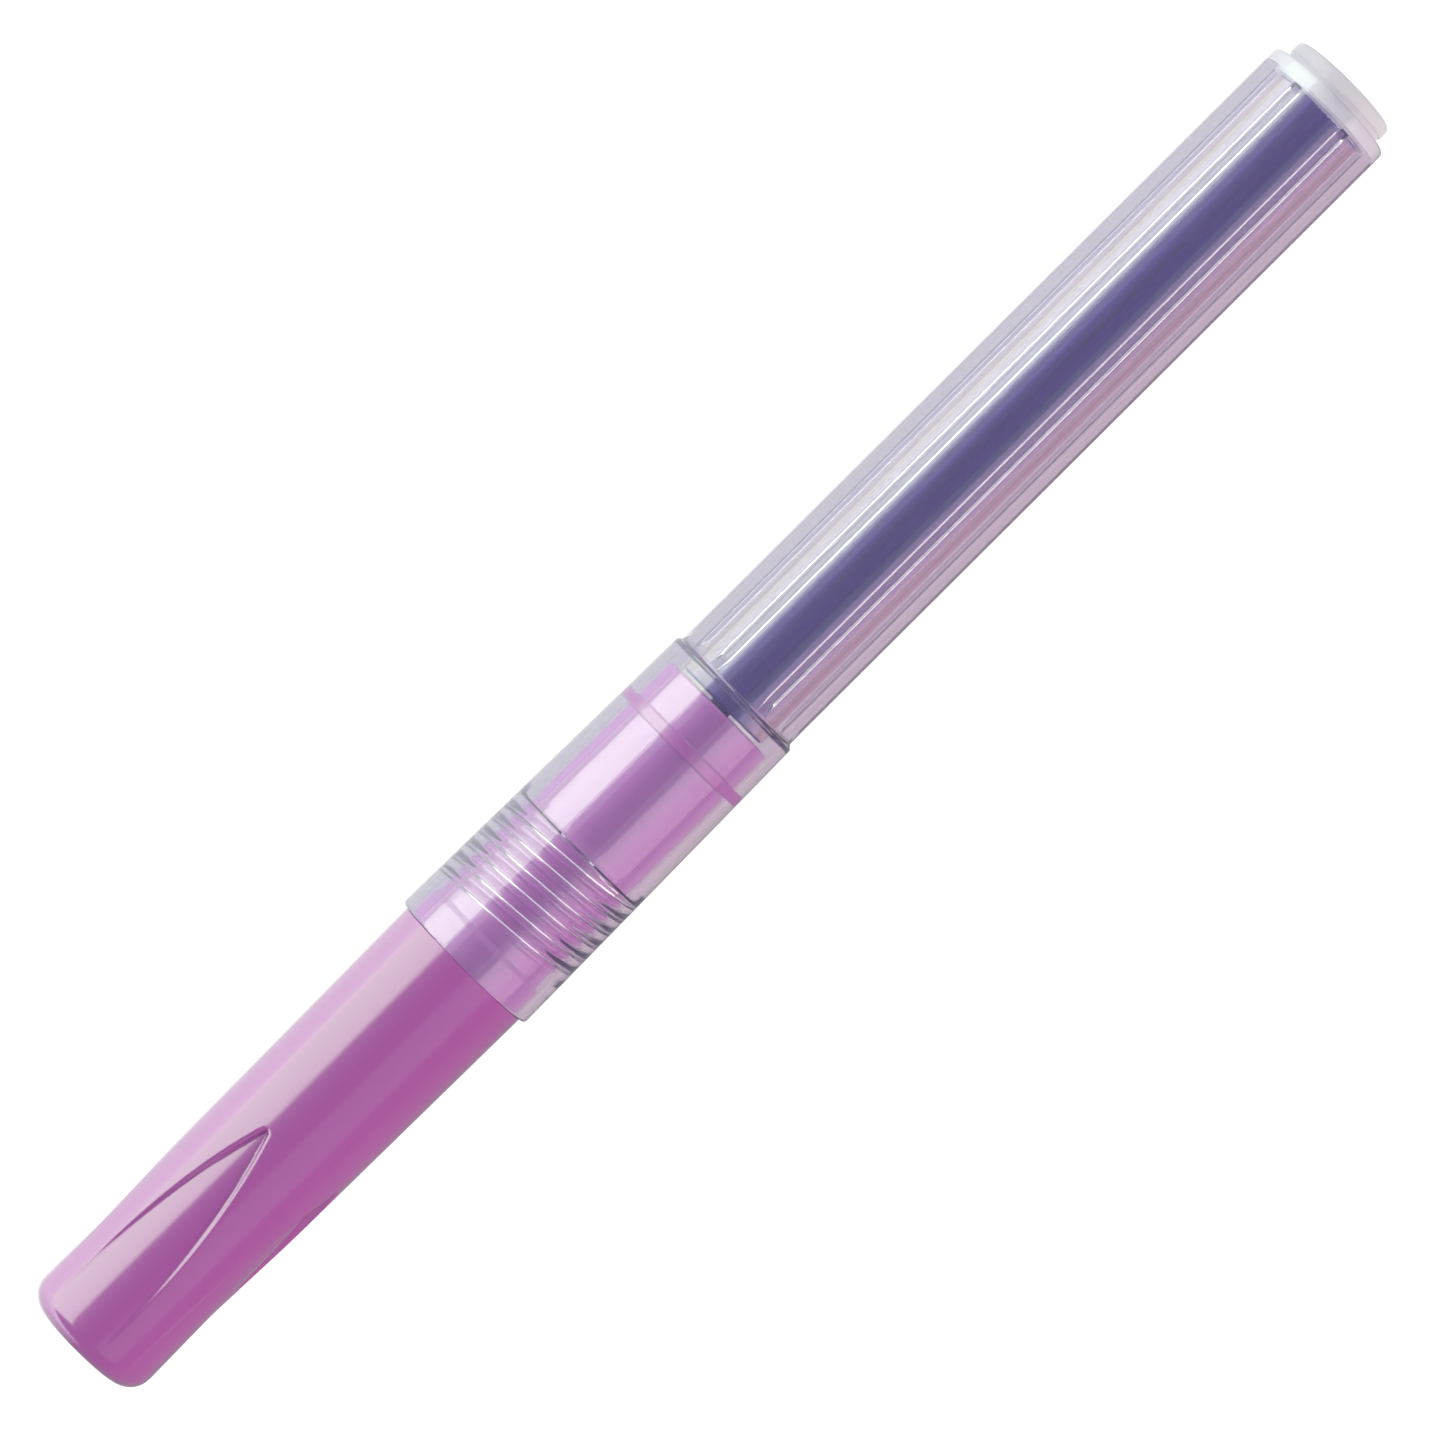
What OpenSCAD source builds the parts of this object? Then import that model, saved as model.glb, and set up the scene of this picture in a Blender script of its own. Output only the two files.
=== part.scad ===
// Brush pen with a lilac cap, a clear screw-on barrel and a fibre ink reservoir.
// The pen lies along X: closed end of the cap towards -X, tail plug towards +X, +Z up.
// Origin: under the middle of the pen, on the surface that the collar rests on.
// Inside lie(), Z runs along the pen from the cap's closed end, so a "station" is a Z value
// there and an outline is a list of [radius, station] points.

/* [Pen] */
// Length from the cap's closed end to the tail
pen_l = 140; // [136:0.5:150]

/* [Cap] */
// Length of the cap that stands out of the collar
cap_l = 42.5; // [41.5:0.1:43]
// Radius of the cap at its closed end
cap_end_r = 5.75; // [5.6:0.05:6]
// Radius of the cap at its mouth
cap_mouth_r = 6.2; // [6.05:0.05:6.4]
// Rounding of the closed end's edge
cap_edge = 2; // [1:0.1:2.5]
// Gap between the cap's mouth and the collar
cap_gap = 0.12; // [0.05:0.01:0.2]

/* [Cap petals] */
// Number of petal-shaped thumb recesses
petal_n = 4; // [3:1:5]
// Station of each petal's pointed end
petal_l = 23.1; // [16:0.1:26]
// Half of a petal's width at its broad end
petal_w = 2.9; // [2:0.1:3.2]
// Depth of a petal near its point
petal_depth = 0.5; // [0.2:0.05:0.6]
// Turn of the first petal from the top, in degrees
petal_turn = 15; // [0:1:45]

/* [Barrel] */
// Radius of the collar at its mouth
collar_mouth_r = 6.7; // [6.55:0.05:6.9]
// Radius of the collar at its step
collar_step_r = 6.25; // [6.1:0.05:6.4]
// Rounding of the collar's mouth
collar_edge = 0.8; // [0.3:0.05:0.9]
// Station where the collar's step begins
step_at = 72.1; // [71.5:0.1:73]
// Length of the rounded step down to the tube
step_l = 0.6; // [0.4:0.05:0.9]
// Outer radius of the tube
tube_r = 5.88; // [5.75:0.01:5.95]
// Bore radius of the tube
tube_bore_r = 4.9; // [4.8:0.01:5]
// Length of the tail plug outside the tube
plug_out = 1.7; // [1:0.1:2.5]

/* [Centring ribs] */
// Number of ribs inside the tube
rib_n = 6; // [4:1:12]
// Width of a rib
rib_w = 0.75; // [0.4:0.05:1]
// Distance of a rib's crest from the axis
rib_r = 4.35; // [4.3:0.01:4.5]

/* [Thread] */
// Spacing of the right-hand thread's ridges along the pen
pitch = 1.43; // [1.3:0.01:1.45]
// Number of starts
starts = 2; // [1:1:3]
// Number of ridges that cross one side of the thread
crossings = 6; // [3:1:6]
// Facets in one turn of the ridges
thread_facets = 30; // [24:2:36]

/* [Brush and ink feed] */
// Station of the brush's point
brush_tip = 7.5; // [7:0.1:12]
// Station of the nose cone's mouth, where the brush bends
brush_root = 24; // [23:0.1:24.5]
// Radius of the brush at its root
brush_r = 2.3; // [1.8:0.05:2.3]
// Radius of the feed wick
wick_r = 0.95; // [0.7:0.05:1]
// Radius of the fibre reservoir
reservoir_r = 4.2; // [4.1:0.01:4.22]

/* [Hidden] */
$fn = 96;
EPS = 0.01;

// Cap and its liner
cap_end_wall = 1.2;
cap_bore_r = 5.25;            // round the front section's nose
liner_seat_r = 4.75;          // cap bore that the liner is pressed into
liner_end = 30;
liner_wall = 0.55;
liner_floor = 0.7;
lip_l = 2.6;

// Nose cone
cone_mouth_r = 2.85;
cone_body_r = 4.0;
cone_shoulder = 28.6;         // end of the taper
flange_at = 31;
flange_r = 4.6;
flange_l = 1.5;
spigot_r = 3.6;
spigot_end = 39;
running_gap = 0.05;           // radial play of parts that slide
mouth_bore_r = brush_r + 0.1;
root_flange_r = 2.9;
root_flange_at = 27.6;
retainer_at = 29;
retainer_end = 34;

// Front section
nose_at = flange_at + flange_l;
nose_r = 5.05;
snap_at = 37;
section_end = step_at - 1.4;
feed_bore_r = 4.3;
collar_at = cap_l;
shoulder_l = 2.85;
shoulder_r = 5.77;
thread_at = collar_at + 3.8;  // station where the ridges begin
thread_l = pitch * crossings;
lead = pitch * starts;        // travel of the barrel in one turn
turns = crossings / starts;
core_r = 5.42;                // root of the male thread
male_r = 5.72;
shaft_r = 5.33;
bead_at = 66;
bead_l = 1.2;
bead_r = 5.43;

// Barrel bore
counterbore_l = 3;
counterbore_r = 5.85;
female_r = 5.5;               // crest of the female thread
thread_bore_r = 5.8;
thread_zone_end = thread_at + thread_l + 0.35;
thread_turn = 55;             // angle where the female thread begins
seal_bore_r = 5.45;
seal_bore_end = step_at;
ridge_base_w = 0.6;
ridge_tip_w = 0.16;
ridge_sink = 0.1;             // how far a ridge is sunk into its wall
tube_end = pen_l - plug_out;
tube_edge = 0.4;
rib_end = tube_end - 1.4;
rib_lead = 1.3;

// Reservoir and plug
wick_end = 80;
film_wall = 0.08;
film_r = reservoir_r + film_wall;
reservoir_at = section_end + 0.3;
reservoir_end = rib_end;
plug_at = rib_end + 0.1;
plug_edge = 0.6;
plug_cup_r = 3.9;

// Points of an arc about c from angle a to angle b, in degrees
function arc(c, r, a, b, n = 8) =
    [for (i = [0:n]) c + r * [cos(a + (b - a) * i / n), sin(a + (b - a) * i / n)]];

// Lays the pen, modelled along Z, on the ground along X
module lie() translate([-pen_l / 2, 0, collar_mouth_r]) rotate([0, 90, 0]) children();

// A hollow turned part: the outer outline is spun, and the bores are taken away
module turned(outline) rotate_extrude() polygon(outline);

// A plain bore from one station to another
module bore(r, from, to) translate([0, 0, from]) cylinder(r = r, h = to - from);

// Turns a shape modelled towards +X round the pen, degrees from the top
module round_pen(angle) rotate([0, 0, 180 - angle]) children();

// One ridge of a screw thread, sunk into the wall at root_r, crest at crest_r.
// It grows out of the wall over a quarter turn at each end.
module ridge(root_r, crest_r, phase) {
    inward = crest_r < root_r;
    base_r = root_r + (inward ? ridge_sink : -ridge_sink);
    steps = turns * thread_facets;
    quarter = thread_facets / 4;
    rise = [for (i = [0:steps]) min(1, i / quarter, (steps - i) / quarter)];
    points = [for (i = [0:steps]) let (
            a = phase + 360 * i / thread_facets,
            z = thread_at + lead * i / thread_facets,
            r = base_r + (crest_r - base_r) * max(rise[i], 0.05))
        for (p = [[base_r, -ridge_base_w], [r, -ridge_tip_w], [r, ridge_tip_w],
                  [base_r, ridge_base_w]])
            [p[0] * cos(a), p[0] * sin(a), z + p[1] / 2]];
    sides = [for (i = [0:steps - 1]) for (k = [0:3]) let (
            a = 4 * i + k, b = 4 * i + (k + 1) % 4)
        each [[a, b, b + 4], [a, b + 4, a + 4]]];
    ends = [[0, 2, 1], [0, 3, 2],
            [4 * steps, 4 * steps + 1, 4 * steps + 2],
            [4 * steps, 4 * steps + 2, 4 * steps + 3]];
    faces = concat(sides, ends);
    polyhedron(points, inward ? [for (f = faces) [f[2], f[1], f[0]]] : faces);
}

// All ridges of a thread; turn is the angle where the first one begins
module thread(root_r, crest_r, turn)
    for (i = [0:starts - 1]) ridge(root_r, crest_r, turn + 360 * i / starts);

// Outline of one petal in [across, along]: a pointed arch
module petal_outline() {
    steps = 20;
    half = [for (i = [0:steps]) let (t = i / steps)
        [petal_w * (1 - pow(t, 2.9)), petal_l * t]];
    polygon(concat([[petal_w, -1]], half,
                   [for (i = [steps - 1:-1:0]) [-half[i][0], half[i][1]]],
                   [[-petal_w, -1]]));
}

// Surface that a petal is cut down to, deepest near the petal's point
module petal_floor() {
    deep_at = petal_l * 0.85;
    deep_r = cap_end_r + (cap_mouth_r - cap_end_r) * deep_at / cap_l - petal_depth;
    turned([[0, -2], [cap_end_r, -2], [cap_end_r - 0.02, 1.5], [deep_r, deep_at],
            [deep_r, petal_l + 1], [0, petal_l + 1]]);
}

module cap() color("orchid") lie() difference() {
    turned(concat([[0, 0]],
                  arc([cap_end_r - cap_edge, cap_edge], cap_edge, -90, 0, 12),
                  [[cap_mouth_r, cap_l - cap_gap - 0.15],
                   [cap_mouth_r - 0.15, cap_l - cap_gap],
                   [0, cap_l - cap_gap]]));
    bore(liner_seat_r, cap_end_wall, cap_l);
    bore(cap_bore_r, liner_end, cap_l);
    for (i = [0:petal_n - 1])
        round_pen(petal_turn + 360 * i / petal_n)
            difference() {
                rotate([90, 0, 90]) linear_extrude(cap_mouth_r + 1) petal_outline();
                petal_floor();
            }
}

module cap_liner() color("ghostwhite") lie() difference() {
    bore(liner_seat_r, cap_end_wall, liner_end);
    bore(liner_seat_r - liner_wall, cap_end_wall + liner_floor, liner_end - lip_l);
    bore(cone_body_r + running_gap, cap_end_wall + 2 * liner_floor, liner_end + 1);
}

module front_section() color("orchid") lie() difference() {
    union() {
        turned(concat(
            [[0, nose_at], [nose_r - 0.4, nose_at], [nose_r, nose_at + 0.4],
             [nose_r, snap_at - 0.8], [nose_r + 0.12, snap_at - 0.3],
             [nose_r + 0.12, snap_at + 0.3], [nose_r, snap_at + 0.8],
             [nose_r, collar_at + 0.1], [shoulder_r, collar_at + 0.1],
             [shoulder_r, collar_at + shoulder_l], [core_r, collar_at + shoulder_l + 0.35],
             [core_r, thread_zone_end - 0.35], [shaft_r, thread_zone_end - 0.2],
             [shaft_r, bead_at - 0.1], [bead_r, bead_at], [bead_r, bead_at + bead_l],
             [shaft_r, bead_at + bead_l + 0.1], [shaft_r, section_end - 0.3],
             [shaft_r - 0.3, section_end], [0, section_end]]));
        thread(core_r, male_r, thread_turn + 180 / starts);
    }
    bore(spigot_r, nose_at - 1, spigot_end);
    bore(feed_bore_r, spigot_end, section_end + 1);
}

module nose_cone() color("orchid") lie() difference() {
    turned(concat([[0, brush_root], [cone_mouth_r - 0.25, brush_root],
                   [cone_mouth_r, brush_root + 0.25]],
                  [[cone_body_r, cone_shoulder], [cone_body_r, flange_at],
                   [flange_r, flange_at + 0.3], [flange_r, flange_at + flange_l],
                   [spigot_r, flange_at + flange_l], [spigot_r, spigot_end - 0.3],
                   [spigot_r - 0.3, spigot_end], [0, spigot_end]]));
    bore(mouth_bore_r, brush_root - 1, retainer_at);
    bore(root_flange_r, root_flange_at, retainer_end);
    bore(root_flange_r - 0.5, retainer_end - EPS, spigot_end + 1);
}

// The free part of the brush: a full belly drawn to a fine point, on a ball-shaped root
module bristle_tuft() color("indigo") lie() {
    l = brush_root - brush_tip;
    steps = 12;
    turned(concat(
        [[0, brush_tip]],
        [for (i = [1:steps]) let (t = i / steps)
            [brush_r * pow(sin(90 * min(1, t / 0.85)), 0.8), brush_tip + l * t]],
        arc([0, brush_root], brush_r, 6, 90, 10)));
}

// The fused, glued roots of the bristles, held behind the cone's inner shoulder
module bristle_root() color("midnightblue") lie() difference() {
    union() {
        bore(brush_r, brush_root + brush_r + 0.1, root_flange_at + EPS);
        bore(root_flange_r, root_flange_at, retainer_at);
    }
    bore(wick_r, root_flange_at + 0.3, retainer_at + 1);
}

module bristle_retainer() color("ghostwhite") lie() difference() {
    bore(root_flange_r, retainer_at, retainer_end);
    bore(wick_r, retainer_at - 1, retainer_end + 1);
    // Air channels
    for (i = [0:2])
        round_pen(120 * i) translate([root_flange_r, 0, retainer_at - 1])
            cylinder(r = 0.45, h = retainer_end - retainer_at + 2, $fn = 24);
}

module feed_wick() color("rebeccapurple") lie()
    bore(wick_r, root_flange_at + 0.3, wick_end);

// A spool that carries the wick through the section's bore
module wick_holder() color("ghostwhite") lie() {
    holder_at = spigot_end + 1;
    holder_end = section_end - 0.7;
    difference() {
        turned([[0, holder_at], [feed_bore_r, holder_at], [feed_bore_r, holder_at + 1.5],
                [1.8, holder_at + 2.2], [1.8, holder_end - 2.2],
                [feed_bore_r, holder_end - 1.5], [feed_bore_r, holder_end],
                [0, holder_end]]);
        bore(wick_r, holder_at - 1, holder_end + 1);
        for (i = [0:3])
            round_pen(90 * i) translate([feed_bore_r - 0.5, -0.6, holder_at - 1])
                cube([2, 1.2, holder_end - holder_at + 2]);
    }
}

// One centring rib, in [radius, station], with a sloping lead at its lower end
module rib() translate([0, rib_w / 2, 0]) rotate([90, 0, 0]) linear_extrude(rib_w)
    polygon([[tube_bore_r + 0.2, step_at + step_l], [tube_bore_r - 0.05, step_at + step_l],
             [rib_r, step_at + step_l + rib_lead], [rib_r, rib_end],
             [tube_bore_r + 0.2, rib_end]]);

module barrel() color("lavender", 0.5) lie() {
    edge_at = collar_at + collar_edge;
    difference() {
        turned(concat(
            [[0, collar_at]],
            arc([collar_mouth_r - collar_edge, edge_at], collar_edge, -90, 0, 8),
            [[collar_step_r, step_at]],
            arc([collar_step_r - step_l / 2, step_at], step_l / 2, 0, 60, 4),
            [[tube_r, step_at + step_l], [tube_r, tube_end - tube_edge]],
            arc([tube_r - tube_edge, tube_end - tube_edge], tube_edge, 0, 90, 6),
            [[0, tube_end]]));
        bore(counterbore_r, collar_at - 1, collar_at + counterbore_l);
        bore(thread_bore_r, collar_at, thread_zone_end);
        bore(seal_bore_r, collar_at, seal_bore_end);
        bore(tube_bore_r, collar_at, tube_end + 1);
    }
    thread(thread_bore_r, female_r, thread_turn);
    for (i = [0:rib_n - 1]) round_pen((i + 0.5) * 360 / rib_n) rib();
}

module ink_reservoir() color("darkslateblue") lie() difference() {
    bore(reservoir_r, reservoir_at, reservoir_end);
    bore(wick_r + running_gap, reservoir_at - 1, wick_end + 0.2);
}

module reservoir_film() color("slateblue", 0.5) lie() difference() {
    bore(film_r, reservoir_at + 0.2, reservoir_end - 0.2);
    bore(reservoir_r, reservoir_at, reservoir_end);
}

module tail_plug() color("aliceblue", 0.6) lie() difference() {
    groove = 0.12;
    turned(concat([[0, plug_at], [tube_bore_r - 0.2, plug_at], [tube_bore_r, plug_at + 0.4],
                   [tube_bore_r, tube_end + 0.2], [tube_bore_r - groove, tube_end + 0.3],
                   [tube_bore_r - groove, tube_end + 0.5],
                   [tube_bore_r, tube_end + 0.6]],
                  arc([tube_bore_r - plug_edge, pen_l - plug_edge], plug_edge, 0, 90, 8),
                  [[0, pen_l]]));
    bore(plug_cup_r, plug_at - 1, pen_l - 1);
}

cap();
cap_liner();
front_section();
nose_cone();
bristle_tuft();
bristle_root();
bristle_retainer();
feed_wick();
wick_holder();
barrel();
ink_reservoir();
reservoir_film();
tail_plug();
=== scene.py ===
import math

import bmesh
import bpy
import numpy as np
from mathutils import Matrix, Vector


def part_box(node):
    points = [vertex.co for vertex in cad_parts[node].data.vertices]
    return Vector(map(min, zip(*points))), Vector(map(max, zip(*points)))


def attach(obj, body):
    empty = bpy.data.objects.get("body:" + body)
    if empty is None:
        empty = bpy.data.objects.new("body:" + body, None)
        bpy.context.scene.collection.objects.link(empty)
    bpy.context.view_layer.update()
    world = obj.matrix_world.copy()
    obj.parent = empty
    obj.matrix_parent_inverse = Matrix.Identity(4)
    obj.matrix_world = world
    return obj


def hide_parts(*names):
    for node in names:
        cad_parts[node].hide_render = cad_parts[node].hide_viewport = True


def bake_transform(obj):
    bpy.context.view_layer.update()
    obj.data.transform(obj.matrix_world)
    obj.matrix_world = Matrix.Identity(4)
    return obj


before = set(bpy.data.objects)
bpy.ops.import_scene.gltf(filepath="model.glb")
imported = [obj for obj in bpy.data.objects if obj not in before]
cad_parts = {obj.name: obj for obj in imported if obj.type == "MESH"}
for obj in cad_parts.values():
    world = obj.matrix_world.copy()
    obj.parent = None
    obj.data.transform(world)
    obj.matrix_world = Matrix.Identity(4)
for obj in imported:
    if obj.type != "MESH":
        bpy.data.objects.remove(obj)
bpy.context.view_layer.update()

# Sizes are in millimetres, and angles in radians unless their name ends in DEG. A station is a
# distance along the pen from the cap's closed end, and an angle goes round the pen's axis, with
# the pen's top at TOP.
MM = 0.001
TAU = 2 * math.pi
TOP = math.pi
AXIS_Z = (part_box("barrel")[0].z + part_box("barrel")[1].z) / 2
START_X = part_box("cap")[0].x


def stations(node):
    """First and last station of a CAD node."""
    low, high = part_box(node)
    return (low.x - START_X) / MM, (high.x - START_X) / MM


def widest(node):
    """Largest radius of a CAD node."""
    low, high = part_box(node)
    return (high.y - low.y) / 2 / MM


COLLAR, TUBE_END = stations("barrel")
CAP_MOUTH = COLLAR - 0.03
SECTION_NOSE, SECTION_END = stations("front_section")
ROD_START, ROD_END = stations("ink_reservoir")
PLUG_START, PEN_END = stations("tail_plug")
COLLAR_R = widest("barrel")
ROD_R = widest("ink_reservoir")
BORE_R = widest("tail_plug")

# The collar and tube, as in the CAD part
STEP, STEP_L, STEP_R, TUBE_R = 72.1, 0.6, 6.25, 5.88
COUNTERBORE_R, THREAD_BORE_R, SEAL_BORE_R = 5.85, 5.8, 5.45
RIB_COUNT, RIB_R = 6, 4.35
RIB_EDGE_DEG, RIB_FLANK_DEG = 4.8, 0.8
# The screw thread
PITCH, STARTS, CROSSINGS = 1.43, 2, 6
THREAD = COLLAR + 3.8
THREAD_END = THREAD + PITCH * CROSSINGS + 0.35
FEMALE_TURN = math.radians(55)
MALE_TURN = FEMALE_TURN + math.pi / STARTS
CORE_R, MALE_R, FEMALE_R, SHAFT_R, SHOULDER_R = 5.42, 5.62, 5.56, 5.33, 5.77
END_RING_R, RUN_OUT = 5.62, 0.2
# Ridge profiles: (offset along the pen, share of the ridge's height)
MALE_RIDGE = [(-0.5, 0), (-0.38, 0), (-0.3, 0.08), (-0.2, 0.35), (-0.1, 0.8), (0, 1), (0.1, 0.8),
              (0.2, 0.35), (0.3, 0.08), (0.38, 0), (0.5, 0), (0.7, 0)]
FEMALE_RIDGE = [(-0.5, 0), (-0.33, 0), (-0.29, 0.06), (-0.23, 0.33), (-0.17, 0.67), (-0.11, 0.94),
                (-0.07, 1), (0.03, 0.94), (0.18, 0.68), (0.32, 0.32), (0.42, 0.12), (0.52, 0.02),
                (0.66, 0), (0.8, 0)]
BEAD, BEAD_L, BEAD_R = 66.15, 0.9, 5.47
PLUG_R = BORE_R + 0.02
# The cap
CAP_END_R, CAP_MOUTH_R, CAP_EDGE = 5.75, 6.2, 2.0
PETALS, PETAL_L, PETAL_W, PETAL_DEPTH = 4, 23.1, 2.9, 0.5
PETAL_TURN = math.radians(15)
POINT_ANGLE = 0.012
# The brush
BRISTLES, TUFT_ROOT = 620, 24.0
TUFT_TIP = stations("bristle_tuft")[0]
TUFT_R = widest("bristle_tuft")


# ---------------------------------------------------------------- outlines and skins

def rounded(corners, closed=False, steps=5, lead=0.05):
    """Outline of (radius, station) points from corners of (radius, station, fillet).

    Each fillet is an arc with a short straight lead on both sides, so flats shade flat."""
    outline = []
    count = len(corners)
    for i, (radius, station, fillet) in enumerate(corners):
        here = Vector((radius, station))
        if not fillet or (not closed and i in (0, count - 1)):
            outline.append(tuple(here))
            continue
        back = Vector(corners[i - 1][:2]) - here
        ahead = Vector(corners[(i + 1) % count][:2]) - here
        half = back.angle(ahead) / 2
        reach = min(fillet / math.tan(half), 0.42 * back.length, 0.42 * ahead.length)
        arc_r = reach * math.tan(half)
        back_u, ahead_u = back.normalized(), ahead.normalized()
        centre = here + (back_u + ahead_u).normalized() * arc_r / math.sin(half)
        first, last = here + back_u * reach, here + ahead_u * reach
        a = math.atan2(*(first - centre).yx)
        turn = (math.atan2(*(last - centre).yx) - a + math.pi) % TAU - math.pi
        outline.append(tuple(first + back_u * min(lead, 0.1 * back.length)))
        outline += [(centre.x + arc_r * math.cos(a + turn * k / steps),
                     centre.y + arc_r * math.sin(a + turn * k / steps))
                    for k in range(steps + 1)]
        outline.append(tuple(last + ahead_u * min(lead, 0.1 * ahead.length)))
    return outline


def even_angles(count):
    return np.arange(count) * TAU / count


def rings(outline, angles):
    """Rows of plain rings, one for each point of an outline."""
    points = np.array(outline, float)
    return np.repeat(points[:, None, :], len(angles), axis=1)


def mesh_object(name, points, faces, merge=2e-7):
    """Smooth-shaded mesh from points in metres, with doubled points and empty faces removed."""
    mesh = bpy.data.meshes.new(name)
    mesh.from_pydata([tuple(p) for p in points], [], [tuple(f) for f in faces])
    mesh.update()
    bm = bmesh.new()
    bm.from_mesh(mesh)
    bmesh.ops.remove_doubles(bm, verts=bm.verts, dist=merge)
    bmesh.ops.dissolve_degenerate(bm, dist=merge / 2, edges=bm.edges)
    bmesh.ops.recalc_face_normals(bm, faces=bm.faces)
    bm.to_mesh(mesh)
    bm.free()
    mesh.shade_smooth()
    obj = bpy.data.objects.new(name, mesh)
    bpy.context.scene.collection.objects.link(obj)
    return obj


def skin(name, rows, angles, closed=False, helix=None):
    """Closed turned skin: rows[j][i] is the (radius, station) of row j at angles[i].

    helix is (first row, last row, shift): over those rows each row follows a screw, so after
    one turn it meets the row that lies shift further on."""
    rows = np.asarray(rows, float)
    count, around = rows.shape[:2]
    radius, station = rows[..., 0], rows[..., 1]
    x = START_X + station * MM
    y = radius * np.sin(angles) * MM
    z = AXIS_Z - radius * np.cos(angles) * MM
    points = np.stack([x, y, z], axis=-1).reshape(-1, 3)

    def over_seam(j):
        if helix and helix[0] <= j <= helix[1]:
            return min(max(j + helix[2], helix[0]), helix[1])
        return j

    faces = []
    for j in range(count if closed else count - 1):
        k = (j + 1) % count
        for i in range(around - 1):
            faces.append((j * around + i, j * around + i + 1,
                          k * around + i + 1, k * around + i))
        last = around - 1
        faces.append((j * around + last, over_seam(j) * around,
                      over_seam(k) * around, k * around + last))
    return mesh_object(name, points, faces)


def thread_rows(wall_r, crest_r, profile, start, end, phase, angles):
    """Rows over a screw thread's zone and how many of them make one turn of the screw.

    profile lists (offset along the pen, share of the ridge's height) over one spacing."""
    lead, turns = PITCH * STARTS, CROSSINGS / STARTS + RUN_OUT
    rows = []
    for k in range(-4, CROSSINGS + 4):
        for offset, height in profile:
            turn = k / STARTS + (angles - phase) / TAU
            station = THREAD + lead * turn + offset
            rise = np.clip(np.minimum(turn, turns - turn) * 4, 0, 1)
            ridge = height * rise * rise * (3 - 2 * rise)
            inside = (station > start) & (station < end)
            rows.append(np.stack([wall_r + (crest_r - wall_r) * ridge * inside,
                                  np.clip(station, start, end)], axis=-1))
    return np.array(rows), len(profile) * STARTS


# ---------------------------------------------------------------- materials

def material(name):
    mat = bpy.data.materials.new(name)
    mat.use_nodes = True
    tree = mat.node_tree
    shader = tree.nodes["Principled BSDF"]
    return mat, tree, shader


def node(tree, kind, **values):
    """New node with some of its inputs or properties set."""
    made = tree.nodes.new(kind)
    for key, value in values.items():
        if key in made.inputs:
            made.inputs[key].default_value = value
        else:
            setattr(made, key, value)
    return made


def stretched_noise(tree, scale, stretch, detail=3.0):
    """Noise in the row frame, drawn out along the pen when the first stretch is small."""
    where = node(tree, "ShaderNodeTexCoord")
    warp = node(tree, "ShaderNodeMapping")
    warp.inputs["Scale"].default_value = stretch
    noise = node(tree, "ShaderNodeTexNoise")
    noise.inputs["Scale"].default_value = scale
    noise.inputs["Detail"].default_value = detail
    tree.links.new(where.outputs["Object"], warp.inputs["Vector"])
    tree.links.new(warp.outputs["Vector"], noise.inputs["Vector"])
    return noise


def ramp(tree, source, stops):
    """Colour ramp node over stops of (position, colour)."""
    made = node(tree, "ShaderNodeValToRGB")
    elements = made.color_ramp.elements
    while len(elements) < len(stops):
        elements.new(0.5)
    for element, (at, colour) in zip(elements, stops):
        element.position = at
        element.color = (*colour, 1)
    tree.links.new(source, made.inputs["Fac"])
    return made


def span(tree, source, low, high, start=0.0, end=1.0):
    """Source from start..end mapped to low..high."""
    made = node(tree, "ShaderNodeMapRange")
    made.inputs["To Min"].default_value = low
    made.inputs["To Max"].default_value = high
    made.inputs["From Min"].default_value = start
    made.inputs["From Max"].default_value = end
    tree.links.new(source, made.inputs["Value"])
    return made.outputs["Result"]


def mix_colour(tree, share, first, second):
    """Socket that mixes two colours, each a socket or a plain colour."""
    made = node(tree, "ShaderNodeMix", data_type="RGBA")
    colour_a, colour_b = 6, 7
    tree.links.new(share, made.inputs["Factor"])
    for at, colour in ((colour_a, first), (colour_b, second)):
        if isinstance(colour, tuple):
            made.inputs[at].default_value = (*colour, 1)
        else:
            tree.links.new(colour, made.inputs[at])
    return made.outputs[2]


def bump(tree, source, shader, strength, distance):
    made = node(tree, "ShaderNodeBump")
    made.inputs["Strength"].default_value = strength
    made.inputs["Distance"].default_value = distance
    tree.links.new(source, made.inputs["Height"])
    tree.links.new(made.outputs["Normal"], shader.inputs["Normal"])


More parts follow.
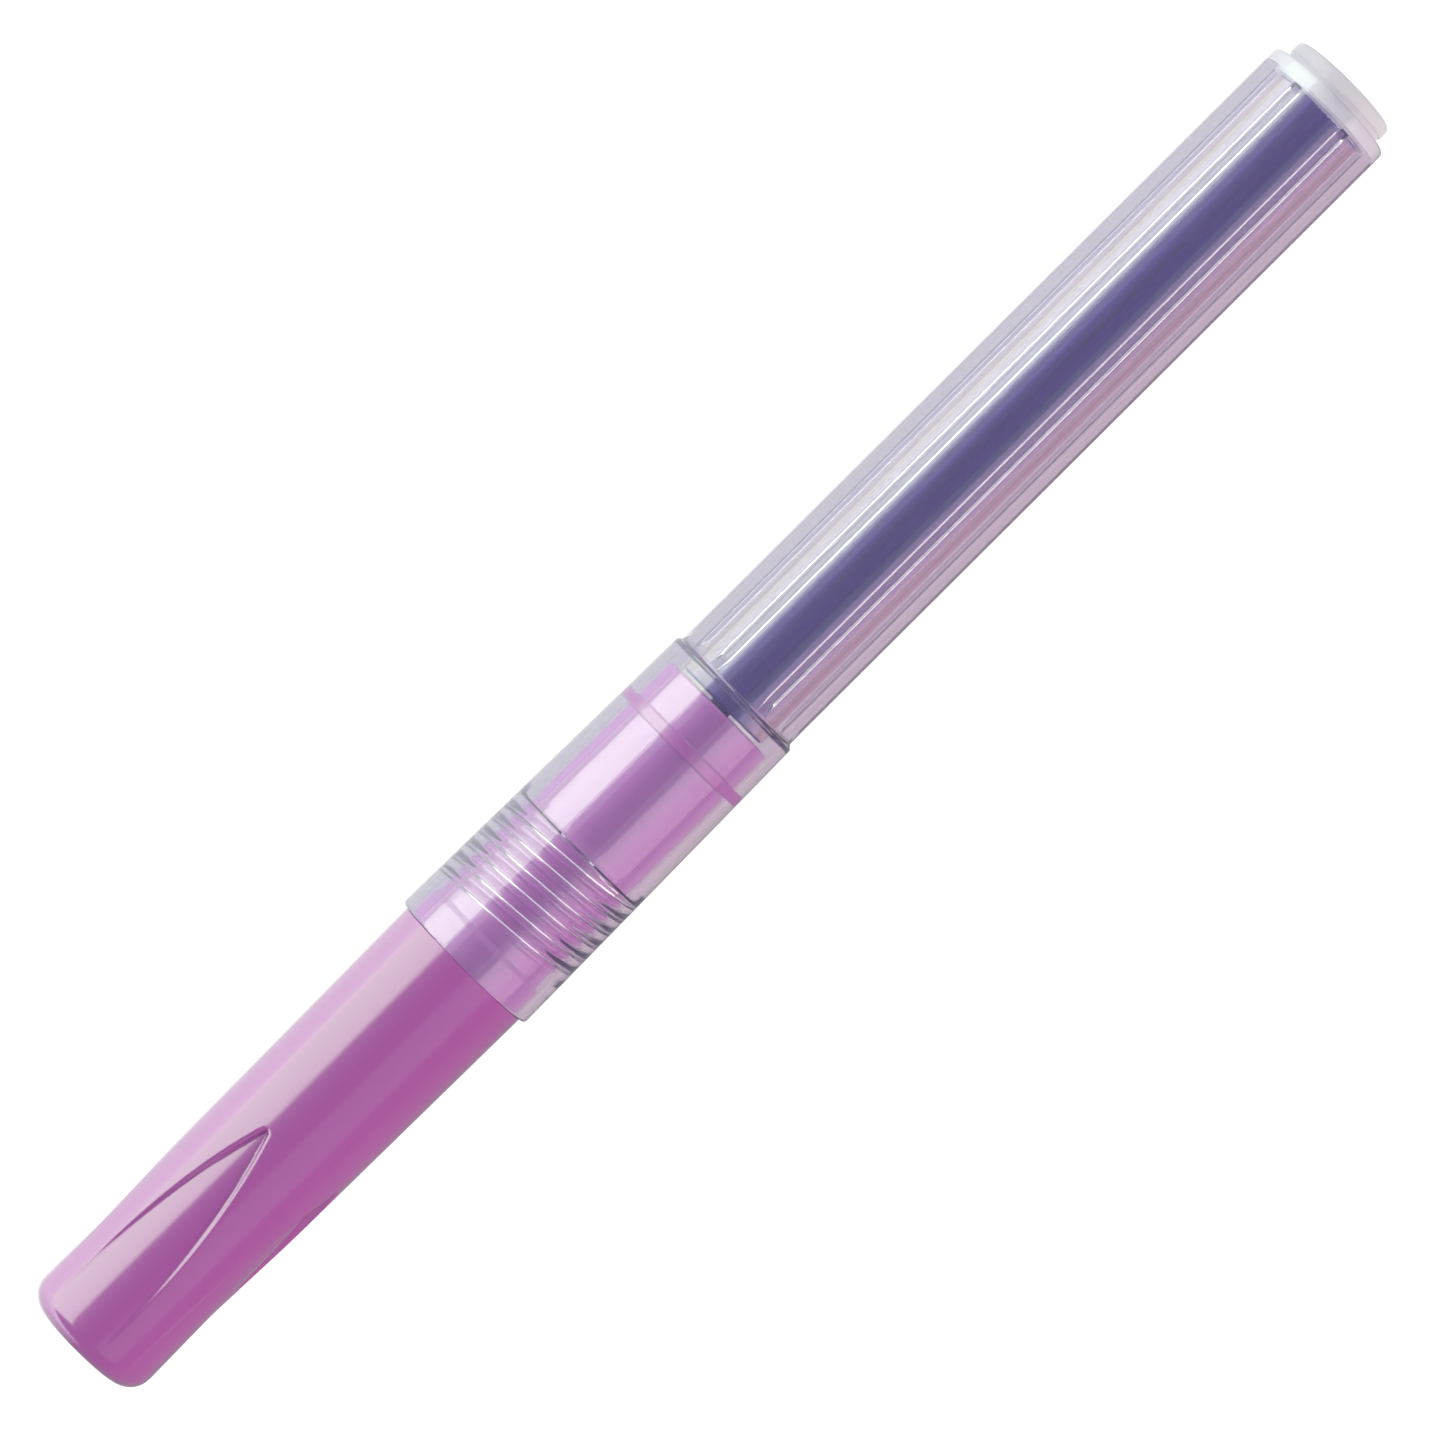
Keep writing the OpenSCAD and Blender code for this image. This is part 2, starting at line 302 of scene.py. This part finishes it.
def plastic(name, colour, roughness, shade=0.05, grain=900.0, strength=0.06, subsurface=0.0):
    """Moulded plastic: faint clouding, fine surface grain and uneven gloss."""
    mat, tree, shader = material(name)
    cloud = stretched_noise(tree, 90.0, (0.4, 1, 1))
    dark = tuple(c * (1 - shade) for c in colour)
    light = tuple(min(1, c * (1 + shade)) for c in colour)
    tone = ramp(tree, cloud.outputs["Fac"], [(0.3, dark), (0.7, light)])
    tree.links.new(tone.outputs["Color"], shader.inputs["Base Color"])
    fine = stretched_noise(tree, grain, (0.5, 1, 1), 4.0)
    tree.links.new(span(tree, fine.outputs["Fac"], roughness * 0.8, roughness * 1.25),
                   shader.inputs["Roughness"])
    bump(tree, fine.outputs["Fac"], shader, strength, 0.00004)
    shader.inputs["IOR"].default_value = 1.7
    shader.inputs["Coat Weight"].default_value = 1.0
    shader.inputs["Coat Roughness"].default_value = roughness * 0.6
    if subsurface:
        shader.inputs["Subsurface Weight"].default_value = subsurface
        shader.inputs["Subsurface Radius"].default_value = (1.0, 0.5, 1.0)
        shader.inputs["Subsurface Scale"].default_value = 0.0008
    return mat


def clear_plastic(name, tint, haze, milk_colour, roughness):
    """Clear moulded plastic that lamps shine through, slightly milky, with flow lines."""
    mat, tree, shader = material(name)
    shader.inputs["Base Color"].default_value = (*tint, 1)
    shader.inputs["Transmission Weight"].default_value = 1.0
    shader.inputs["IOR"].default_value = 1.49
    shader.inputs["Coat Weight"].default_value = 0.4
    shader.inputs["Coat Roughness"].default_value = 0.02
    flow = stretched_noise(tree, 160.0, (0.04, 1, 1), 2.0)
    tree.links.new(span(tree, flow.outputs["Fac"], roughness * 0.5, roughness * 1.6),
                   shader.inputs["Roughness"])
    bump(tree, flow.outputs["Fac"], shader, 0.02, 0.00004)
    milk = node(tree, "ShaderNodeBsdfDiffuse")
    milk.inputs["Color"].default_value = (*milk_colour, 1)
    cloudy = node(tree, "ShaderNodeMixShader")
    tree.links.new(span(tree, flow.outputs["Fac"], haze * 0.7, haze * 1.3), cloudy.inputs["Fac"])
    tree.links.new(shader.outputs["BSDF"], cloudy.inputs[1])
    tree.links.new(milk.outputs["BSDF"], cloudy.inputs[2])
    clear = node(tree, "ShaderNodeBsdfTransparent")
    clear.inputs["Color"].default_value = (0.94, 0.93, 0.95, 1)
    path = node(tree, "ShaderNodeLightPath")
    mix = node(tree, "ShaderNodeMixShader")
    out = tree.nodes["Material Output"]
    tree.links.new(path.outputs["Is Shadow Ray"], mix.inputs["Fac"])
    tree.links.new(cloudy.outputs["Shader"], mix.inputs[1])
    tree.links.new(clear.outputs["BSDF"], mix.inputs[2])
    tree.links.new(mix.outputs["Shader"], out.inputs["Surface"])
    return mat


def film_wrap(name, stain):
    """Thin glossy film: clear where it is seen square on, and stained and mirror-like at
    grazing angles."""
    mat, tree, shader = material(name)
    tree.nodes.remove(shader)
    gloss = node(tree, "ShaderNodeBsdfAnisotropic")
    gloss.inputs["Roughness"].default_value = 0.12
    clear = node(tree, "ShaderNodeBsdfTransparent")
    stained = node(tree, "ShaderNodeBsdfDiffuse")
    creases = stretched_noise(tree, 700.0, (0.05, 1, 1), 3.0)
    tone = ramp(tree, creases.outputs["Fac"], [(0.3, tuple(c * 0.88 for c in stain)),
                                               (0.7, tuple(min(1, c * 1.1) for c in stain))])
    tree.links.new(tone.outputs["Color"], stained.inputs["Color"])
    crease = node(tree, "ShaderNodeBump")
    crease.inputs["Strength"].default_value = 0.06
    crease.inputs["Distance"].default_value = 0.00005
    tree.links.new(creases.outputs["Fac"], crease.inputs["Height"])
    tree.links.new(crease.outputs["Normal"], gloss.inputs["Normal"])
    facing = node(tree, "ShaderNodeLayerWeight")
    facing.inputs["Blend"].default_value = 0.5
    share = ramp(tree, facing.outputs["Facing"], [(0.05, (0.0,) * 3), (0.2, (0.15,) * 3),
                                                  (0.45, (0.45,) * 3), (0.9, (0.9,) * 3)])
    body = node(tree, "ShaderNodeMixShader")
    tree.links.new(share.outputs["Color"], body.inputs["Fac"])
    tree.links.new(clear.outputs["BSDF"], body.inputs[1])
    tree.links.new(stained.outputs["BSDF"], body.inputs[2])
    fresnel = node(tree, "ShaderNodeFresnel")
    fresnel.inputs["IOR"].default_value = 1.22
    mix = node(tree, "ShaderNodeMixShader")
    tree.links.new(fresnel.outputs["Fac"], mix.inputs["Fac"])
    tree.links.new(body.outputs["Shader"], mix.inputs[1])
    tree.links.new(gloss.outputs["BSDF"], mix.inputs[2])
    tree.links.new(mix.outputs["Shader"], tree.nodes["Material Output"].inputs["Surface"])
    return mat


def inked_fibre(name, dark, light, scale, stretch, roughness):
    """Fibres along the pen, soaked in ink, with lighter strands and specks."""
    mat, tree, shader = material(name)
    strands = stretched_noise(tree, scale, stretch, 6.0)
    tone = ramp(tree, strands.outputs["Fac"], [(0.32, dark), (0.72, light)])
    tree.links.new(tone.outputs["Color"], shader.inputs["Base Color"])
    tree.links.new(span(tree, strands.outputs["Fac"], roughness * 0.8, roughness * 1.2),
                   shader.inputs["Roughness"])
    bump(tree, strands.outputs["Fac"], shader, 0.5, 0.00008)
    return mat


lilac = plastic("lilac_plastic", (0.42, 0.092, 0.40), 0.2, strength=0.025, subsurface=0.15)
# Painted light: the section's lilac is a lighter, less saturated copy of the cap's, standing in
# for the paler look of the section seen under the clear collar's highlight.
lilac_painted_lighter = plastic("lilac_plastic_painted_lighter", (0.42, 0.12, 0.43), 0.2, strength=0.025,
                     subsurface=0.15)
white = plastic("white_plastic", (0.82, 0.81, 0.8), 0.35)
clear = clear_plastic("clear_plastic", (0.83, 0.82, 0.85), 0.04, (0.6, 0.5, 1.0), 0.02)
milky = clear_plastic("milky_plastic", (0.9, 0.9, 0.93), 0.62, (0.83, 0.83, 0.87), 0.35)
film = film_wrap("reservoir_film", (0.56, 0.4, 0.5))
ink = inked_fibre("ink_fibre", (0.03, 0.01, 0.24), (0.07, 0.03, 0.44), 1500.0,
                  (0.012, 1, 1), 0.45)
wick = inked_fibre("wick_fibre", (0.05, 0.03, 0.14), (0.2, 0.14, 0.36), 1800.0,
                   (0.02, 1, 1), 0.6)
bristle = inked_fibre("bristle", (0.02, 0.012, 0.05), (0.1, 0.07, 0.2), 2500.0,
                      (0.03, 1, 1), 0.32)


def finish_piece(obj, mat, body, cad_node):
    obj.data.materials.append(mat)
    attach(obj, body)
    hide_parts(cad_node)


# ---------------------------------------------------------------- cap

def cap_columns():
    """Columns over one petal's sector, as (share, side): share 0..1 runs from the petal's
    middle to its edge and 1..2 from there to halfway to the next petal."""
    inside = [0, 0.15, 0.3, 0.45, 0.6, 0.75, 0.88]
    band = [0.94, 1.0, 1.05, 1.1, 1.16]
    outside = [1.24, 1.34, 1.46, 1.6, 1.75, 1.9]
    right = inside + band + outside
    return [-share for share in reversed(right[1:])] + right + [2.0]


def cap_radius(station):
    """The cap's plain outside radius: a slight cone with a rounded closed edge."""
    if station < CAP_EDGE:
        return CAP_END_R - CAP_EDGE + math.sqrt(CAP_EDGE**2 - (CAP_EDGE - station)**2)
    return CAP_END_R + (CAP_MOUTH_R - CAP_END_R) * station / CAP_MOUTH


def petal_half_angle(station):
    across = PETAL_W * (1 - min(1, max(0, station) / PETAL_L) ** 2.9)
    return max(math.asin(across / CAP_END_R), POINT_ANGLE)


def petal_sink(station):
    """Depth of a petal's floor at a station, deepest near the point."""
    deep = PETAL_L * 0.85
    rise = min(1, max(0, (station - 1.5) / (deep - 1.5)))
    return PETAL_DEPTH * rise if station < PETAL_L else 0.0


def make_cap():
    columns = cap_columns()
    sector = TAU / PETALS
    wall_mm = 0.28
    arc_steps = 10
    heights = [CAP_EDGE * (1 - math.cos(math.pi / 2 * k / arc_steps))
               for k in range(arc_steps + 1)]
    heights += list(np.linspace(CAP_EDGE + 0.15, PETAL_L - 1.6, 44))
    heights += list(np.linspace(PETAL_L - 1.5, PETAL_L + 0.1, 16))
    heights += [PETAL_L + 0.3, PETAL_L + 1, 26, 30, 34, 38, 41, CAP_MOUTH - 0.25]
    outline = [(0.0, 0.0), (CAP_END_R - CAP_EDGE - 0.05, 0.0)]
    outline += [(cap_radius(station), station) for station in heights]
    rows, all_angles = [], []
    for radius, station in outline:
        half = petal_half_angle(station)
        ring, angles = [], []
        for petal in range(PETALS):
            middle = TOP - PETAL_TURN + petal * sector
            for share in columns:
                away = half * min(1, abs(share))
                away += (sector / 2 - half) * max(0, abs(share) - 1)
                gap = (half - away) * radius
                blend = min(1, max(0, 0.5 + gap / wall_mm))
                blend = blend * blend * (3 - 2 * blend)
                point = min(1, max(0, half - POINT_ANGLE) * radius / (wall_mm / 2))
                ring.append((radius - petal_sink(station) * blend * point, station))
                angles.append(middle + math.copysign(away, share))
        rows.append(ring)
        all_angles.append(angles)
    rim = rounded([(CAP_MOUTH_R, CAP_MOUTH - 0.25, 0), (CAP_MOUTH_R, CAP_MOUTH, 0.06),
                   (5.25, CAP_MOUTH, 0.12), (5.25, 30.0, 0.05), (4.75, 30.0, 0.1),
                   (4.75, 1.2, 0.3), (0.0, 1.2, 0)])
    for radius, station in rim[1:]:
        rows.append([(radius, station)] * len(columns) * PETALS)
        all_angles.append(all_angles[-1])
    return skin("cap_shell", rows, np.array(all_angles))


cap = make_cap()
finish_piece(cap, lilac, "cap", "cap")

# ---------------------------------------------------------------- plain turned pieces

def turned(name, corners, count=96, closed=False):
    angles = even_angles(count)
    return skin(name, rings(rounded(corners, closed), angles), angles, closed)


liner_end = stations("cap_liner")[1]
liner = turned("cap_seal_liner", [
    (0, 1.2, 0), (4.74, 1.2, 0.2), (4.74, liner_end, 0.12), (4.05, liner_end, 0.15),
    (4.05, liner_end - 2.6, 0.1), (4.2, liner_end - 2.6, 0.05), (4.2, 1.9, 0.3), (0, 1.9, 0)])
finish_piece(liner, white, "cap", "cap_liner")

# ---------------------------------------------------------------- front section

def make_section():
    angles = even_angles(144)
    front = rounded([
        (4.3, SECTION_END, 0), (4.3, 39.0, 0.05), (3.6, 39.0, 0.1), (3.6, SECTION_NOSE, 0.1),
        (5.05, SECTION_NOSE, 0.35), (5.05, 36.2, 0.3), (5.17, 36.7, 0.2), (5.17, 37.3, 0.2),
        (5.05, 37.8, 0.3), (5.05, COLLAR + 0.1, 0.08), (SHOULDER_R, COLLAR + 0.1, 0.15),
        (SHOULDER_R, COLLAR + 2.4, 0.4), (CORE_R, COLLAR + 2.95, 0.3),
        (CORE_R, THREAD - 0.5, 0)])
    back = rounded([
        (CORE_R, THREAD_END - 0.02, 0), (CORE_R, THREAD_END + 0.1, 0.05),
        (SHAFT_R, THREAD_END + 0.3, 0.05), (SHAFT_R, BEAD - 0.15, 0.06), (BEAD_R, BEAD, 0.05),
        (BEAD_R, BEAD + BEAD_L, 0.05), (SHAFT_R, BEAD + BEAD_L + 0.15, 0.06),
        (SHAFT_R, SECTION_END, 0.25), (4.3, SECTION_END, 0.12), (4.3, SECTION_END - 1, 0)])
    thread, per = thread_rows(CORE_R, MALE_R, MALE_RIDGE, THREAD - 0.45, THREAD_END - 0.1,
                              MALE_TURN, angles)
    rows = np.concatenate([rings(front, angles), thread, rings(back, angles)])
    first = len(front)
    return skin("front_section_shell", rows[1:], angles, True,
                (first - 1, first + len(thread) - 2, per))


section = make_section()
finish_piece(section, lilac_painted_lighter, "section", "front_section")

nose_start, nose_end = stations("nose_cone")
nose = turned("nose_cone_shell", [
    (2.4, nose_start, 0.08), (2.85, nose_start, 0.2), (4.0, 28.6, 0.6), (4.0, 31.0, 0.1),
    (4.6, 31.2, 0.15), (4.6, 32.5, 0.1), (3.6, 32.5, 0.05), (3.6, nose_end, 0.2),
    (2.4, nose_end, 0.1), (2.4, 34.0, 0.02), (2.9, 34.0, 0.02), (2.9, 27.6, 0.02),
    (2.4, 27.6, 0.02)], closed=True)
finish_piece(nose, lilac_painted_lighter, "section", "nose_cone")

# ---------------------------------------------------------------- barrel

def barrel_angles():
    """Angles that fall on every rib's edges, and how far each one is up a rib."""
    sector = 360 / RIB_COUNT
    degrees = [0, 1.8, 3.0, 3.7, 4.0, 4.2, 4.4, 4.6, 4.8, 5.4, 6.5, 8, 10.5, 13, 16, 19, 22, 26]
    offsets = sorted({-d for d in degrees} | set(degrees)) + [sector / 2]
    shares = {}
    for i in range(RIB_COUNT):
        for offset in offsets:
            angle = math.radians(sector * (i + 0.5) + offset) % TAU
            shares[round(angle, 9)] = min(1, max(0, (RIB_EDGE_DEG - abs(offset)) / RIB_FLANK_DEG))
    angles = np.array(sorted(shares))
    return angles, np.array([shares[a] for a in angles])


def make_barrel():
    angles, rib = barrel_angles()
    rib = rib * rib * (3 - 2 * rib)
    outer = rounded([
        (COUNTERBORE_R, COLLAR + 1.5, 0), (COUNTERBORE_R, COLLAR, 0.15),
        (COLLAR_R, COLLAR, 0.8), (STEP_R, STEP + 0.25, 0.3), (TUBE_R + 0.02, STEP + STEP_L, 0.25),
        (TUBE_R, STEP + 2, 0), (TUBE_R, TUBE_END, 0.4), (BORE_R, TUBE_END, 0.15),
        (BORE_R, TUBE_END - 1.3, 0)], steps=7)
    rib_rows = []
    for station, rise in [(ROD_END + 0.05, 0), (ROD_END, 0), (ROD_END - 0.05, 0.5),
                          (ROD_END - 0.12, 1), (ROD_END - 1, 1), (120, 1), (100, 1), (85, 1),
                          (76, 1), (74.3, 1), (74.05, 0.98), (73.9, 0.9), (73.4, 0.56),
                          (73.0, 0.26), (72.8, 0.1), (72.68, 0), (72.55, 0)]:
        radius = BORE_R + (RIB_R - BORE_R) * rib * rise
        rib_rows.append(np.stack([radius, np.full(len(angles), station)], axis=-1))
    inner = rounded([
        (BORE_R, STEP + 0.4, 0), (BORE_R, STEP, 0.15), (SEAL_BORE_R, STEP, 0.15),
        (SEAL_BORE_R, THREAD_END + 0.9, 0.2), (END_RING_R, THREAD_END + 0.08, 0.04),
        (THREAD_BORE_R, THREAD_END - 0.1, 0.04), (THREAD_BORE_R, THREAD_END - 0.18, 0)])
    mouth = rounded([
        (THREAD_BORE_R, THREAD - 0.5, 0), (THREAD_BORE_R, COLLAR + 3.0, 0.3),
        (COUNTERBORE_R, COLLAR + 2.6, 0.3), (COUNTERBORE_R, COLLAR + 1.6, 0)])
    thread, per = thread_rows(THREAD_BORE_R, FEMALE_R, FEMALE_RIDGE, THREAD - 0.45,
                              THREAD_END - 0.2, FEMALE_TURN, angles)
    thread = thread[::-1]
    before = np.concatenate([rings(outer, angles), np.array(rib_rows), rings(inner, angles)])
    rows = np.concatenate([before, thread, rings(mouth, angles)])
    first = len(before)
    return skin("barrel_shell", rows, angles, True, (first, first + len(thread) - 1, -per))


barrel = make_barrel()
finish_piece(barrel, clear, "barrel", "barrel")

plug = turned("tail_plug_shell", [
    (3.9, PLUG_START, 0.1), (BORE_R - 0.2, PLUG_START, 0.1), (PLUG_R, PLUG_START + 0.25, 0.1),
    (PLUG_R, TUBE_END - 0.3, 0.05), (BORE_R - 0.12, TUBE_END - 0.05, 0.05),
    (BORE_R - 0.12, TUBE_END + 0.5, 0.05), (BORE_R, TUBE_END + 0.62, 0.08),
    (BORE_R, PEN_END, 0.6), (0, PEN_END, 0), (0, PEN_END - 1, 0), (3.9, PEN_END - 1, 0.2)])
finish_piece(plug, milky, "barrel", "tail_plug")

# ---------------------------------------------------------------- ink reservoir, wick, brush

def make_rod():
    """Bundled fibre rod with fine grooves and slightly ragged cut ends."""
    rng = np.random.default_rng(7)
    angles = even_angles(360)
    groove = rng.uniform(-0.02, 0.0, len(angles))
    ragged = rng.uniform(0.0, 0.16, (2, len(angles)))
    rows = []
    for radius, station, fray in [(0.98, ROD_START + 9.2, 0), (1.05, ROD_START, 0),
                                  (3.0, ROD_START, 0), (ROD_R - 0.12, ROD_START + 0.02, 1),
                                  (ROD_R - 0.03, ROD_START + 0.1, 1),
                                  (ROD_R - 0.02, ROD_START + 0.6, 0), (ROD_R - 0.02, 100, 0),
                                  (ROD_R - 0.02, 120, 0), (ROD_R - 0.02, ROD_END - 0.6, 0),
                                  (ROD_R - 0.03, ROD_END - 0.1, -1),
                                  (ROD_R - 0.12, ROD_END - 0.02, -1), (3.0, ROD_END, 0),
                                  (0.0, ROD_END, 0)]:
        shift = fray * ragged[0 if fray > 0 else 1]
        radius = radius + (groove if radius > 3.5 else 0) + np.zeros(len(angles))
        rows.append(np.stack([radius, station + shift], axis=-1))
    rows.insert(0, np.stack([np.zeros(len(angles)), rows[0][:, 1]], axis=-1))
    return skin("ink_reservoir_rod", rows, angles)


rod = make_rod()
finish_piece(rod, ink, "reservoir", "ink_reservoir")
wrap_start, wrap_end = stations("reservoir_film")
wrap = turned("reservoir_wrap", [
    (ROD_R + 0.03, wrap_start, 0.015), (widest("reservoir_film"), wrap_start, 0.015),
    (widest("reservoir_film"), wrap_end, 0.015), (ROD_R + 0.03, wrap_end, 0.015)], 180, True)
finish_piece(wrap, film, "reservoir", "reservoir_film")

wick_start, wick_end = stations("feed_wick")
feed = turned("feed_wick_rod", [(0, wick_start, 0), (0.95, wick_start, 0.15),
                                (0.95, wick_end, 0.2), (0, wick_end, 0)], 48)
finish_piece(feed, wick, "section", "feed_wick")


def tuft_radius(station):
    t = (station - TUFT_TIP) / (TUFT_ROOT - TUFT_TIP)
    return TUFT_R * math.sin(math.pi / 2 * min(1, max(0, t) / 0.85)) ** 0.8


def make_tuft():
    """Several hundred tapered bristles laid side by side to a point."""
    rng = np.random.default_rng(11)
    points, faces = [], []

    def strand(path, radii, sides=5):
        start = len(points)
        for p, radius in zip(path, radii):
            for k in range(sides):
                a = TAU * k / sides
                points.append((p[0], p[1] + radius * math.cos(a), p[2] + radius * math.sin(a)))
        for j in range(len(path) - 1):
            for k in range(sides):
                m = (k + 1) % sides
                faces.append((start + j * sides + k, start + j * sides + m,
                              start + (j + 1) * sides + m, start + (j + 1) * sides + k))
        faces.append(tuple(start + k for k in range(sides))[::-1])
        end = start + (len(path) - 1) * sides
        faces.append(tuple(end + k for k in range(sides)))

    stops = np.linspace(0, 1, 9)
    root = TUFT_ROOT + 1.2
    for i in range(BRISTLES):
        angle = i * math.pi * (3 - math.sqrt(5))
        depth = math.sqrt((i + 0.5) / BRISTLES)
        tip = TUFT_TIP + 0.2 + (1 - depth) * 0.6 + abs(rng.normal(0, 0.5))
        tip += depth**4 * 3.0 * rng.random()
        twist = rng.normal(0, 0.05)
        path, radii = [], []
        for t in stops:
            station = root + (tip - root) * t
            r = max(tuft_radius(station) - 0.09, 0.005) * depth
            a = angle + twist * t
            path.append((START_X + station * MM, r * math.sin(a) * MM,
                         AXIS_Z - r * math.cos(a) * MM))
            radii.append(0.075 * MM * (1 - 0.8 * t**2))
        strand(path, radii)
    return mesh_object("brush_tuft", points, faces, merge=1e-9)


tuft = make_tuft()
tuft.data.materials.append(bristle)
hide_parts("bristle_tuft")
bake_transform(tuft)

for name, mat in (("bristle_root", bristle), ("bristle_retainer", white),
                  ("wick_holder", white)):
    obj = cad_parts[name]
    obj.data.materials.clear()
    obj.data.materials.append(mat)

# ---------------------------------------------------------------- floor, light and camera

def make_floor():
    size = 3.0
    mesh = bpy.data.meshes.new("floor")
    mesh.from_pydata([(-size, -size, 0), (size, -size, 0), (size, size, 0), (-size, size, 0)],
                     [], [(0, 1, 2, 3)])
    obj = bpy.data.objects.new("floor", mesh)
    bpy.context.scene.collection.objects.link(obj)
    mat, tree, shader = material("floor")
    paper = stretched_noise(tree, 40.0, (1, 1, 1))
    tone = ramp(tree, paper.outputs["Fac"], [(0.3, (0.84, 0.84, 0.84)), (0.7, (0.86, 0.86, 0.86))])
    tree.links.new(tone.outputs["Color"], shader.inputs["Base Color"])
    shader.inputs["Roughness"].default_value = 0.9
    shader.inputs["Specular IOR Level"].default_value = 0.1
    # What reflections see: a pool of light on the main softbox's side, dim paper elsewhere.
    # Light through plastic, matt surfaces and the camera each see one brightness.
    where = node(tree, "ShaderNodeTexCoord")
    split = node(tree, "ShaderNodeSeparateXYZ")
    tree.links.new(where.outputs["Object"], split.inputs["Vector"])
    away = span(tree, split.outputs["Y"], 0.0, 1.0, end=0.1)
    pool = ramp(tree, away, [(0.01, (0.1,) * 3), (0.06, (0.3,) * 3), (0.1, (0.34,) * 3),
                             (0.17, (0.55,) * 3), (0.3, (0.78,) * 3), (0.8, (1.0,) * 3)])
    path = node(tree, "ShaderNodeLightPath")
    seen = span(tree, pool.outputs["Color"], 0.0, 3.0)
    for ray, value in (("Is Transmission Ray", 0.9), ("Is Diffuse Ray", 0.8),
                       ("Is Camera Ray", 1.25)):
        pick = node(tree, "ShaderNodeMix")
        pick.inputs["B"].default_value = value
        tree.links.new(path.outputs[ray], pick.inputs["Factor"])
        tree.links.new(seen, pick.inputs["A"])
        seen = pick.outputs["Result"]
    glow = node(tree, "ShaderNodeEmission")
    tree.links.new(seen, glow.inputs["Strength"])
    # Painted light: seen through plastic, the floor on the dimmer side glows brighter and rosy,
    # standing in for light tinted by passing through the pen
    side = span(tree, split.outputs["Y"], 0.0, 1.0, start=-0.01, end=0.01)
    rosy = ramp(tree, side, [(0.2, (0.86, 0.68, 0.76)), (0.7, (0.56, 0.55, 0.58))])
    tinted = mix_colour(tree, path.outputs["Is Transmission Ray"], (1, 1, 1),
                        rosy.outputs["Color"])
    tree.links.new(tinted, glow.inputs["Color"])
    mix = node(tree, "ShaderNodeMixShader")
    tree.links.new(span(tree, path.outputs["Is Camera Ray"], 1.0, 0.75), mix.inputs["Fac"])
    tree.links.new(shader.outputs["BSDF"], mix.inputs[1])
    tree.links.new(glow.outputs["Emission"], mix.inputs[2])
    tree.links.new(mix.outputs["Shader"], tree.nodes["Material Output"].inputs["Surface"])
    mesh.materials.append(mat)


def softbox(name, degrees, distance, width, radiance, colour=(1, 1, 1), mirrored=True,
            lights=True):
    """A long soft box beside the pen: degrees from straight up, positive towards +Y.

    mirrored boxes show in glossy surfaces and lighting ones shine on matt surfaces."""
    length = 1.6
    light = bpy.data.lights.new(name, "AREA")
    light.shape = "RECTANGLE"
    light.size, light.size_y = length, width
    light.energy = radiance * math.pi * length * width
    light.color = colour
    obj = bpy.data.objects.new(name, light)
    a = math.radians(degrees)
    away = Vector((0, math.sin(a), math.cos(a)))
    obj.location = Vector((0, 0, AXIS_Z)) + away * distance
    obj.rotation_euler = (-away).to_track_quat("-Z", "Y").to_euler()
    obj.rotation_mode = "XYZ"
    obj.visible_camera = False
    obj.visible_glossy = mirrored
    obj.visible_diffuse = lights
    bpy.context.scene.collection.objects.link(obj)


def make_camera():
    """Straight above the pen, with the pen's tail towards the picture's upper right."""
    tilt = math.radians(44.87)
    picture_w = 113.26 * MM
    pen_left, pen_up = -0.796 * MM, 0.554 * MM
    data = bpy.data.cameras.new("camera")
    data.sensor_width, data.lens = 36.0, 190.0
    distance = picture_w * data.lens / data.sensor_width
    right = Vector((math.cos(tilt), -math.sin(tilt), 0))
    up = Vector((math.sin(tilt), math.cos(tilt), 0))
    obj = bpy.data.objects.new("camera", data)
    obj.location = Vector((0, 0, AXIS_Z + distance)) - right * pen_left - up * pen_up
    obj.rotation_euler = (0, 0, -tilt)
    bpy.context.scene.collection.objects.link(obj)
    bpy.context.scene.camera = obj


def make_world():
    """A pale room, brighter on the main softbox's side and, in reflections and through clear
    plastic, beyond the pen's tail."""
    world = bpy.data.worlds.new("studio")
    world.use_nodes = True
    tree = world.node_tree
    where = node(tree, "ShaderNodeTexCoord")
    split = node(tree, "ShaderNodeSeparateXYZ")
    tree.links.new(where.outputs["Generated"], split.inputs["Vector"])
    side = span(tree, split.outputs["Y"], 0.0, 1.0, start=-1.0)
    room = ramp(tree, side, [(0.0, (0.2, 0.19, 0.2)), (0.5, (0.31, 0.31, 0.34)),
                             (1.0, (0.75, 0.76, 0.8))])
    lit = ramp(tree, split.outputs["X"], [(0.35, (0,) * 3), (0.75, (1,) * 3)])
    path = node(tree, "ShaderNodeLightPath")
    shown = node(tree, "ShaderNodeMath", operation="MULTIPLY")
    tree.links.new(lit.outputs["Color"], shown.inputs[0])
    tree.links.new(path.outputs["Is Glossy Ray"], shown.inputs[1])
    mixed = mix_colour(tree, shown.outputs["Value"], room.outputs["Color"], (1.1, 1.05, 1.12))
    tree.links.new(mixed, tree.nodes["Background"].inputs["Color"])
    bpy.context.scene.world = world


make_floor()
make_world()
make_camera()
softbox("main_softbox", 63, 0.8, 0.85, 3.2, (0.82, 1.0, 0.74), lights=False)
softbox("strip_softbox", -42, 0.9, 0.73, 0.29, (0.62, 0.98, 0.96), lights=False)
softbox("main_diffuser", 50, 0.8, 0.85, 0.75, (0.98, 0.98, 0.95), mirrored=False)
softbox("warm_diffuser", -62, 0.8, 0.85, 1.8, (1.0, 0.81, 0.78), mirrored=False)
bpy.context.scene.view_settings.view_transform = "Standard"
cycles = bpy.context.scene.cycles
cycles.max_bounces = cycles.transmission_bounces = cycles.transparent_max_bounces = 16
